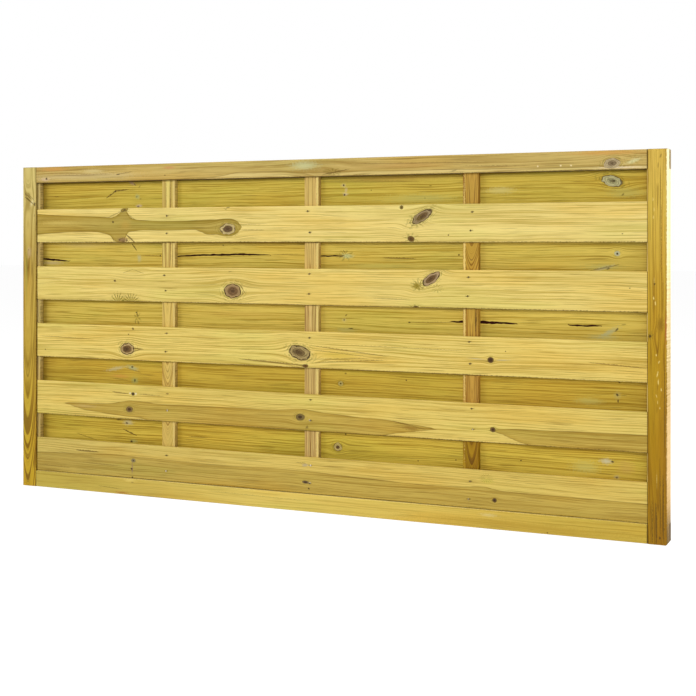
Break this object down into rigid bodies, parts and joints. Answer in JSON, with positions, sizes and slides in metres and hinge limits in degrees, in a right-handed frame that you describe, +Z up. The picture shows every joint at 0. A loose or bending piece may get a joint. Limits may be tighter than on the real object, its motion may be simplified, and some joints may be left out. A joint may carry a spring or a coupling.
{
  "type": "privacy fence panel",
  "caption": "Low timber privacy fence panel: framed, with horizontal slats nailed alternately to the front and back of upright battens.",
  "frame": {"origin": "on the left stile's outer face, which stands against the fence post, at mid depth and mid height", "axes": "+X along the panel to the right stile, +Y from the seen face to the far face, +Z up"},
  "size_m": [1.8, 0.045, 0.9],
  "materials": {
    "frame_timber": "planed, pressure treated",
    "slat_timber": "planed, pressure treated",
    "batten_timber": "planed, pressure treated"
  },
  "bodies": {
    "root": {"left_stile": "frame_timber", "right_stile": "frame_timber", "top_rail": "frame_timber", "bottom_rail": "frame_timber", "left_end_batten": "batten_timber", "right_end_batten": "batten_timber", "middle_batten_1": "batten_timber", "middle_batten_2": "batten_timber", "middle_batten_3": "batten_timber", "front_slat_1": "slat_timber", "back_slat_1": "slat_timber", "front_slat_2": "slat_timber", "back_slat_2": "slat_timber", "front_slat_3": "slat_timber", "back_slat_3": "slat_timber", "front_slat_4": "slat_timber", "back_slat_4": "slat_timber", "front_slat_5": "slat_timber", "back_slat_5": "slat_timber"}
  },
  "joints": []
}
